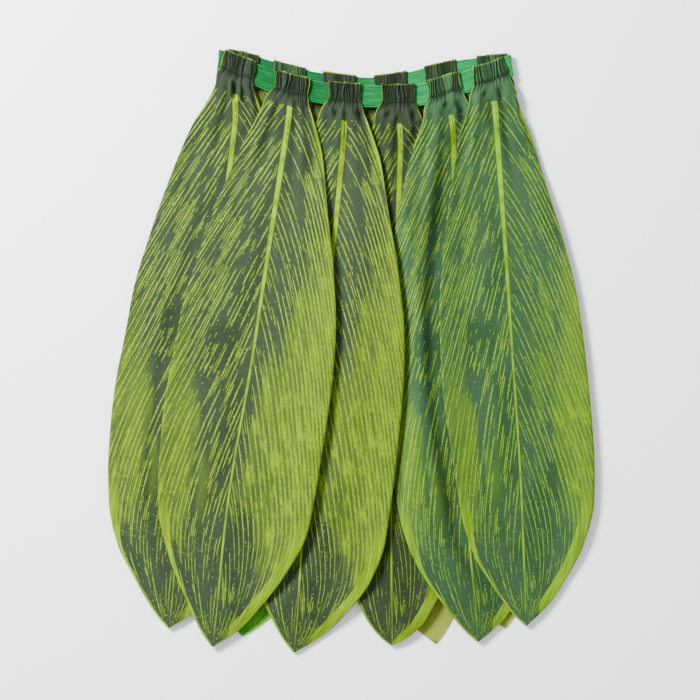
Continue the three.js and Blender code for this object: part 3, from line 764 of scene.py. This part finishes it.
def leaf_print(tree, openness):
    """The share of lime ink at a point, and its place on the leaf. The ink is a midrib, broken veins,
    finer veins and streaks that close up towards the edges, a border line, solid bands low on both
    sides, rows of short crosswise scratches, strokes on the tip, and the line along the fold at the
    top. The openness is how much further from the midrib the veins close up, as a share of the half
    width. A wash, which tints the ground between the veins, lies in patches that run down the leaf."""
    aside, distance, place = split(tree, "leaf_place")
    count, spacing, share = split(tree, "leaf_veins")
    is_right = calc(tree, "GREATER_THAN", place, 0.0)
    is_left = calc(tree, "SUBTRACT", 1.0, is_right)
    off_midrib = calc(tree, "ABSOLUTE", aside)
    out = calc(tree, "ABSOLUTE", place)
    half = calc(tree, "DIVIDE", off_midrib, calc(tree, "MAXIMUM", out, 0.05))
    inside = times(tree, half, calc(tree, "SUBTRACT", 1.0, out))
    veins = {"count": count, "spacing": spacing, "distance": distance, "is_right": is_right}
    patches = flat_noise(tree, times(tree, aside, 0.03), times(tree, distance, 0.014), 2)
    patch_aside = plus(tree, times(tree, aside, 0.05), times(tree, is_right, 9.0))
    long_patches = flat_noise(tree, patch_aside, times(tree, distance, 0.0085), 2)
    uneven = plus(tree, long_patches, -0.5)

    # How closed up the veins are: 0 near the midrib and 1 near the edges. They are open at both ends.
    frayed = plus(tree, share, times(tree, plus(tree, patches, -0.5), 0.10))
    right_start = plus(tree, 1.06 + openness, times(tree, ramp(tree, share, 0.10, 0.62), -0.80),
                       times(tree, ramp(tree, frayed, 0.76, 0.88), 0.72))
    left_start = plus(tree, 1.30 + openness / 2, times(tree, ramp(tree, share, 0.30, 0.70), -0.46),
                      times(tree, ramp(tree, frayed, 0.80, 0.84), 0.55))
    start = plus(tree, times(tree, is_right, right_start), times(tree, is_left, left_start))
    past_start = plus(tree, calc(tree, "SUBTRACT", out, start), times(tree, uneven, 0.7))
    dense = ramp(tree, past_start, -0.42, 0.22)
    veins["dense"] = dense

    # Lines on every vein, between veins, twice as close, as dots, and the gaps between solid ones.
    more = times(tree, dense, -0.2)
    sparse = times(tree, ramp(tree, share, 0.78, 0.90), 0.05)
    outer = ramp(tree, plus(tree, out, times(tree, uneven, 0.6)), 0.48, 0.72)
    upper = times(tree, ramp(tree, share, 0.06, 0.20), ramp(tree, share, 0.86, 0.80))
    close = times(tree, is_left, outer, upper, -0.30)
    main_half = plus(tree, 0.34, times(tree, is_left, 0.06), times(tree, dense, 0.44),
                     times(tree, ramp(tree, share, 0.72, 0.84), -0.13))
    main_on = plus(tree, 0.40, times(tree, is_left, 0.09), more, sparse, times(tree, close, 0.30))
    main = vein_lines(tree, veins, 0.0, 1.0, main_half, 46, main_on)
    between = vein_lines(tree, veins, 0.5, 1.0, 0.26, 34, plus(tree, 0.66, more, close, sparse))
    fine = vein_lines(tree, veins, 0.25, 2.0, 0.18, 18, plus(tree, 0.70, more))
    dots = vein_lines(tree, veins, 0.3, 1.0, 0.34, 2.6, 0.69)
    gaps = vein_lines(tree, veins, 0.5, 1.0, 0.40, 40, 0.30)
    finer = largest(tree, times(tree, between, 0.9), times(tree, fine, 0.8), times(tree, dots, 0.7))
    finer = times(tree, finer, plus(tree, 1.0, times(tree, dense, -0.9)))

    # Rows of short crosswise scratches on both sides, and strokes down the tip.
    scratch = flat_noise(tree, times(tree, aside, 0.11), times(tree, distance, 0.75), 1)
    right_rows = times(tree, is_right, near(tree, share, 0.60, 0.035, 0.02))
    left_rows = times(tree, is_left, near(tree, share, 0.825, 0.03, 0.015))
    scratch_rows = times(tree, plus(tree, right_rows, left_rows), ramp(tree, out, 0.15, 0.35))
    scratch = times(tree, ramp(tree, scratch, 0.58, 0.64), scratch_rows, 0.22)
    strokes = flat_noise(tree, times(tree, aside, 0.95), times(tree, distance, 0.33), 1)
    strokes = times(tree, ramp(tree, strokes, 0.62, 0.66), ramp(tree, share, 0.93, 0.955), 0.55)

    # The solid ink between closed-up veins is combed by the gaps, and flecks are missing all over.
    fill_noise = plus(tree, streaks(tree, veins, 3.0, 0.6, 26, 0.25, 0.75), -0.5)
    fill = ramp(tree, plus(tree, dense, times(tree, fill_noise, 1.2)), 0.68, 1.50)
    fill = times(tree, fill, plus(tree, 1.0, times(tree, gaps, -0.6)), 0.85)
    flecks = times(tree, streaks(tree, veins, 23.0, 3.2, 7, 0.66, 0.56),
                   streaks(tree, veins, 41.0, 1.3, 3, 0.70, 0.62))
    lines = largest(tree, main, finer, scratch, strokes)
    lines = times(tree, lines, plus(tree, 1.0, times(tree, dense, -0.12)))
    veined = times(tree, largest(tree, lines, fill), plus(tree, 0.30, times(tree, flecks, 0.70)))

    # The midrib narrows down the leaf, is worn in places, and dims the veins right beside it.
    rib_half = plus(tree, 0.85, times(tree, ramp(tree, share, 0.62, 0.02), 1.55))
    rib_wear = flat_noise(tree, times(tree, aside, 0.5), times(tree, distance, 0.05), 2)
    on_rib = ramp(tree, off_midrib, plus(tree, rib_half, -0.3), plus(tree, rib_half, 0.35), 1.0, 0.0)
    midrib = times(tree, on_rib, ramp(tree, share, 0.93, 0.86), ramp(tree, rib_wear, 0.26, 0.34))
    beside_rib = ramp(tree, off_midrib, plus(tree, rib_half, 0.5), plus(tree, rib_half, 2.2))
    veined = times(tree, veined, plus(tree, 0.35, times(tree, beside_rib, 0.65)))

    # A line along both edges, which is wide at the neck's right, and the bands inside them low down.
    edge_noise = flat_noise(tree, is_right, times(tree, distance, 0.06), 2)
    neck_right = times(tree, is_right, ramp(tree, share, 0.02, 0.05), ramp(tree, share, 0.16, 0.10), 1.8)
    at_stitches = times(tree, ramp(tree, share, 0.05, 0.02), -0.25)
    edge_half = plus(tree, -0.1, times(tree, edge_noise, 1.3), at_stitches, neck_right,
                     times(tree, is_left, ramp(tree, share, 0.05, 0.12), -0.85))
    border = times(tree, ramp(tree, inside, edge_half, plus(tree, edge_half, 0.5), 1.0, 0.0),
                   ramp(tree, distance, -19.0, -16.0), ramp(tree, out, 0.3, 0.5))
    right_band = times(tree, is_right, plus(tree, 9.5, times(tree, edge_noise, 4.0)),
                       ramp(tree, share, 0.985, 0.955))
    left_band = times(tree, is_left, plus(tree, 1.2, times(tree, edge_noise, 1.6),
                                          times(tree, ramp(tree, share, 0.92, 0.74), 8.0)))
    band_half = plus(tree, right_band, left_band)
    band = times(tree, ramp(tree, inside, plus(tree, band_half, 0.8), band_half),
                 ramp(tree, share, 0.72, 0.80), plus(tree, 0.92, times(tree, gaps, -0.5)))

    # The veins, the midrib and the band start below the neck, on an uneven line. The border and the
    # fold have ink above it too.
    start_noise = flat_noise(tree, times(tree, count, 2.1), times(tree, is_right, 9.0), 1)
    _, print_start, _ = split(tree, "leaf_shade_and_print_start")
    below_start = calc(tree, "SUBTRACT", plus(tree, share, times(tree, start_noise, 0.012)), print_start)
    printed = times(tree, largest(tree, veined, midrib, band), ramp(tree, below_start, 0.004, 0.007))
    frill = flat_noise(tree, times(tree, aside, 0.9), times(tree, distance, 0.5), 1)
    fold = times(tree, near(tree, distance, FOLD_LINE, 1.55, 1.2), ramp(tree, frill, 0.30, 0.44), 0.85)
    ink = largest(tree, printed, times(tree, border, 0.85), fold)

    wash_side = plus(tree, times(tree, is_left, near(tree, share, 0.66, 0.16, 0.06)),
                     times(tree, is_right, near(tree, share, 0.58, 0.20, 0.06)))
    wash_patches = times(tree, ramp(tree, long_patches, 0.40, 0.54), ramp(tree, out, 0.18, 0.42))
    veins["wash"] = times(tree, wash_side, wash_patches)
    return ink, veins, aside, distance, share, patches


WARP_PITCH = 0.52
WEFT_PITCH = 0.47
# The dark that the weave tints towards a little, and the colour of the painted shade in the gathers'
# valleys and along the stitches.
CLOTH_SHADE = (0.005, 0.008, 0.004, 1)


def printed_cloth(name, neck, ground, deep, lime, pale, openness, contrast, neck_end):
    """Leaf-print cloth. The ground goes from the neck's colour to its own by a share of the length, darkens
    in patches, and takes a tint of lime where the veins close up and in the wash. The ink varies from lime
    to pale. The weave is the product of two sines with slubs, and the valleys between the gathers and a
    line along the stitches are painted dark, as painted shade."""
    made, tree = new_material(name)
    ink, veins, aside, distance, share, patches = leaf_print(tree, openness)
    dense = veins["dense"]
    ground_colour = blend_colour(tree, ramp(tree, share, 0.03, neck_end), neck, ground)
    ground_colour = blend_colour(tree, ramp(tree, patches, 0.42, 0.70), ground_colour, deep)
    tint = blend_colour(tree, 0.34, ground_colour, lime)
    washed = times(tree, veins["wash"], 0.85)
    tinted = largest(tree, times(tree, ramp(tree, dense, 0.15, 0.95), 0.75), washed)
    ground_colour = blend_colour(tree, tinted, ground_colour, tint)
    tone = flat_noise(tree, times(tree, veins["count"], 0.8), times(tree, distance, 0.03), 2)
    brighter = times(tree, ramp(tree, tone, 0.28, 0.62), plus(tree, 1.0, times(tree, dense, -0.45)))
    ink_colour = blend_colour(tree, brighter, lime, pale)
    colour = blend_colour(tree, times(tree, ink, contrast), ground_colour, ink_colour)
    warp = calc(tree, "SINE", times(tree, aside, 2 * np.pi / WARP_PITCH))
    weft = calc(tree, "SINE", times(tree, distance, 2 * np.pi / WEFT_PITCH))
    slub = flat_noise(tree, times(tree, aside, 0.22), times(tree, distance, 3.1), 2)
    weave = plus(tree, times(tree, warp, weft, 0.5), slub)
    # Painted shade: the gathers' valleys and the line along the stitches are darkened here.
    painted_fold_shade, _, _ = split(tree, "leaf_shade_and_print_start")
    shade = plus(tree, times(tree, ramp(tree, weave, 0.0, 1.1), 0.14),
                 times(tree, ramp(tree, painted_fold_shade, 0.16, 0.78), 0.78))
    colour = blend_colour(tree, shade, colour, CLOTH_SHADE)
    cloth_shader(tree, colour, weave, 0.00007, 0.88, 0.01)
    return made


PRINTS = {
    # name: neck, ground, deep ground, lime ink and pale ink, and then the print's openness
    "grey_green": ((0.021, 0.029, 0.019, 1), (0.026, 0.041, 0.022, 1), (0.020, 0.033, 0.017, 1),
                   (0.112, 0.190, 0.0005, 1), (0.192, 0.325, 0.0005, 1), 0.0),
    # A darker copy of the grey-green print: partly the panel's own darker cloth, and partly painted shade.
    "dark_and_shaded_green": ((0.021, 0.029, 0.018, 1), (0.022, 0.034, 0.018, 1), (0.017, 0.027, 0.012, 1),
                   (0.085, 0.148, 0.0005, 1), (0.145, 0.245, 0.0005, 1), 0.0),
    "mid_green": ((0.026, 0.050, 0.020, 1), (0.026, 0.041, 0.022, 1), (0.020, 0.033, 0.017, 1),
                  (0.112, 0.190, 0.0005, 1), (0.180, 0.300, 0.0005, 1), 0.0),
    "emerald": ((0.030, 0.075, 0.031, 1), (0.028, 0.063, 0.027, 1), (0.020, 0.050, 0.020, 1),
                (0.092, 0.190, 0.001, 1), (0.158, 0.295, 0.001, 1), 0.30),
}
WRONG_SIDES = {
    # name: the same, and then the share of the ink that comes through the cloth
    "khaki": ((0.024, 0.032, 0.010, 1), (0.190, 0.225, 0.030, 1), (0.160, 0.195, 0.024, 1),
              (0.250, 0.285, 0.030, 1), (0.290, 0.330, 0.040, 1), 0.0, 0.3),
    "emerald": ((0.014, 0.060, 0.012, 1), (0.030, 0.200, 0.020, 1), (0.024, 0.160, 0.016, 1),
                (0.190, 0.370, 0.006, 1), (0.230, 0.420, 0.008, 1), 0.0, 0.9),
}
NECK_END = 0.09
WRONG_NECK_END = 0.7
right_sides = {name: printed_cloth("leaf_print_" + name, *tones, 1.0, NECK_END)
               for name, tones in PRINTS.items()}
wrong_sides = {name: printed_cloth("leaf_back_" + name, *tones, WRONG_NECK_END)
               for name, tones in WRONG_SIDES.items()}
# The fourth panels take the darker print, which is partly painted shade.
PRINT_OF = {"front_leaf_4": "dark_and_shaded_green", "back_leaf_4": "dark_and_shaded_green", "back_leaf_3": "grey_green",
            "front_leaf_5": "emerald", "front_leaf_6": "emerald",
            "back_leaf_2": "emerald", "back_leaf_6": "emerald"}
# Columns, rows of the neck and rows below it, in front and behind.
DETAIL = {True: (65, 42, 150), False: (49, 30, 110)}

for leaf in back + front:
    side_name = "front" if leaf["is_front"] else "back"
    node_name = f"{side_name}_leaf_{leaf['number']}"
    print_name = PRINT_OF.get(node_name, "grey_green" if leaf["is_front"] else "mid_green")
    mesh = leaf_mesh(leaf, *DETAIL[leaf["is_front"]])
    mesh.materials.append(right_sides[print_name])
    mesh.materials.append(wrong_sides["emerald" if node_name == "back_leaf_2" else "khaki"])
    panel = place(mesh, node_name + "_cloth")
    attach(panel, "root")
    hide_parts(node_name)

# ---- Stitches ----------------------------------------------------------------------------------
# Green polyester thread, 0.4 mm thick, in one row of straight stitches across the foot of each
# casing, through the panel, the elastic and the flap behind it. Each stitch dives at both ends.
STITCH_LENGTH = 1.9
STITCH_PITCH = 2.5
THREAD_RADIUS = 0.2
THREAD_RISE = 0.22
THREAD_GREEN = (0.030, 0.055, 0.022, 1)
THREAD_SHADE = (0.018, 0.034, 0.015, 1)


def stitch_mesh(rows_of_points, ups):
    """All the stitches on rows of surface points as one mesh. Each stitch is a short tube: its middle
    line follows the row from its start to its end and rises like a half sine, and its radius shrinks
    to nothing at both ends."""
    stations, sides = 9, 6
    share = np.linspace(0, 1, stations)
    turn = np.linspace(0, 2 * np.pi, sides, endpoint=False)
    radius = THREAD_RADIUS * np.sqrt(np.clip(1 - (2 * share - 1) ** 4, 0.0004, 1))
    tubes = []
    for points, up in zip(rows_of_points, ups):
        run = np.concatenate([[0], np.cumsum(np.hypot(*np.diff(points[:, :2], axis=0).T))])
        starts = np.arange(0.4, run[-1] - STITCH_LENGTH, STITCH_PITCH)
        at = starts[:, None] + STITCH_LENGTH * share
        x, y, z = (np.interp(at, run, points[:, i]) for i in range(3))
        z = z + up * THREAD_RISE * np.sin(np.pi * share)
        ring_y = y[..., None] + radius[:, None] * np.cos(turn)
        ring_z = z[..., None] + up * (radius[:, None] * np.sin(turn) + 0.02)
        ring_x = x[..., None] + 0 * ring_y
        tubes.append(np.stack([ring_x, ring_y, ring_z], axis=-1))
    tubes = np.concatenate(tubes)
    many = len(tubes)
    index = np.arange(many * stations * sides).reshape(many, stations, sides)
    around = np.roll(index, -1, axis=2)
    quads = np.stack([index[:, :-1], around[:, :-1], around[:, 1:], index[:, 1:]], axis=-1)
    ends = np.concatenate([index[:, 0, ::-1].reshape(-1, sides), index[:, -1].reshape(-1, sides)])
    mesh = bpy.data.meshes.new("stitches")
    points = (tubes.reshape(-1, 3) + to_frame) * MM
    mesh.from_pydata(points.tolist(), [], quads.reshape(-1, 4).tolist() + ends.tolist())
    mesh.polygons.foreach_set("use_smooth", np.ones(len(mesh.polygons), dtype=bool))
    return mesh


def thread_material():
    """Twisted polyester thread: a fine diagonal twist in the bump and a slightly uneven green."""
    made, tree = new_material("green_sewing_thread")
    where = node(tree, "TexCoord").outputs["Object"]
    waves = {"Vector": where, "Scale": 900.0, "Distortion": 0.5}
    twist = node(tree, "TexWave", waves, bands_direction="DIAGONAL").outputs["Fac"]
    shade = ramp(tree, noise(tree, where, 160.0, 1), 0.35, 0.65)
    colour = blend_colour(tree, shade, THREAD_SHADE, THREAD_GREEN)
    cloth_shader(tree, colour, twist, 0.00005, 0.55, 0.1)
    return made


thread = thread_material()
for leaves, side_name in ((front, "front"), (back, "back")):
    stitched_rows, ups = [], []
    for leaf in leaves:
        outer = leaf_surface(leaf, *DETAIL[leaf["is_front"]])[1]
        foot = len(casing_rows()[0]) - 1
        outward = 1 if leaf["is_front"] else -1
        stitched_rows += [outer[foot], outer[1]]
        ups += [outward, -outward]
    mesh = stitch_mesh(stitched_rows, ups)
    mesh.materials.append(thread)
    stitches = place(mesh, side_name + "_casing_stitches")
    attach(stitches, "root")

# ---- Floor, light and camera -------------------------------------------------------------------
# A plain pale floor under the skirt, a large soft light from the upper left with an even fill all
# round, and a camera that looks straight down from high above.
floor_material, floor_tree = new_material("pale_floor")
floor_grain = noise(floor_tree, node(floor_tree, "TexCoord").outputs["Object"], 3.0, 1)
floor_colour = blend_colour(floor_tree, floor_grain, (0.895, 0.895, 0.90, 1), (0.915, 0.915, 0.92, 1))
floor_shader = node(floor_tree, "BsdfPrincipled", {"Base Color": floor_colour, "Roughness": 0.9})
node(floor_tree, "OutputMaterial", {"Surface": floor_shader.outputs[0]})
FLOOR_REACH = 3.0
corners = FLOOR_REACH * np.array([[[-1, 1, 0], [1, 1, 0]], [[-1, -1, 0], [1, -1, 0]]])
floor_mesh = grid_mesh("floor", corners)
floor_mesh.materials.append(floor_material)
floor = place(floor_mesh, "floor")

world = bpy.data.worlds.new("soft_room")
bpy.context.scene.world = world
world.use_nodes = True
sky = world.node_tree.nodes["Background"].inputs
sky["Color"].default_value = (0.92, 0.95, 1.0, 1)
sky["Strength"].default_value = 1.12


def soft_light(name, position, aim, size, power):
    """A square area light of a size in metres, turned from its position towards its aim."""
    light = bpy.data.lights.new(name, "AREA")
    light.size = size
    light.energy = power
    lamp = bpy.data.objects.new(name, light)
    lamp.location = position
    lamp.rotation_euler = (Vector(aim) - Vector(position)).to_track_quat("-Z", "Y").to_euler()
    bpy.context.scene.collection.objects.link(lamp)


soft_light("key_light", (-1.15, 1.05, 1.25), (0, 0, 0), 0.6, 170)

CAMERA_HEIGHT = 3.0
VIEW_WIDTH = 0.6762
camera_data = bpy.data.cameras.new("camera")
camera_data.sensor_width = 36
camera_data.lens = camera_data.sensor_width * CAMERA_HEIGHT / VIEW_WIDTH
camera = bpy.data.objects.new("camera", camera_data)
camera.location = (-0.00093, 0.00059, CAMERA_HEIGHT)
bpy.context.scene.collection.objects.link(camera)
bpy.context.scene.camera = camera
